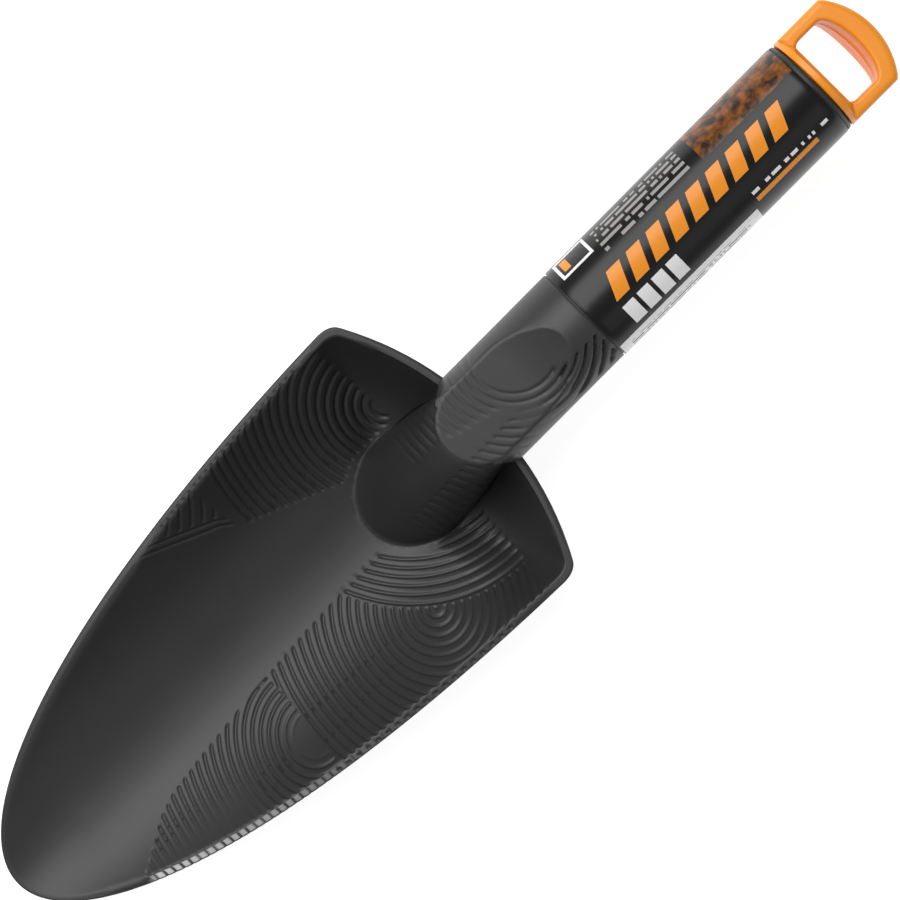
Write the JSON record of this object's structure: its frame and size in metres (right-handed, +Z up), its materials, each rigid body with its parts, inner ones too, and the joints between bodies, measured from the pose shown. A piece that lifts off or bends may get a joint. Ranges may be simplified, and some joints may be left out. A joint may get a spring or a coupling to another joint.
{
  "type": "hand trowel",
  "caption": "Wide garden hand trowel: one-piece dark composite blade and hollow handle with a thumb rest, wave-grooved bowl, printed sleeve and orange hanging loop.",
  "frame": {"origin": "middle of the footprint, at the height of the lowest point under the blade", "axes": "+X from the blade's tip towards the hanging loop, +Z up out of the open bowl, +Y to the left when looking along +X"},
  "size_m": [0.29, 0.0828, 0.0435],
  "materials": {
    "charcoal_composite": "satin moulded glass-fibre composite, fine grain",
    "black_film": "semi-gloss printed film",
    "orange_plastic": "semi-gloss moulded plastic"
  },
  "bodies": {
    "root": {"trowel_body": "charcoal_composite", "label_sleeve": "black_film", "hang_loop": "orange_plastic"}
  },
  "joints": []
}
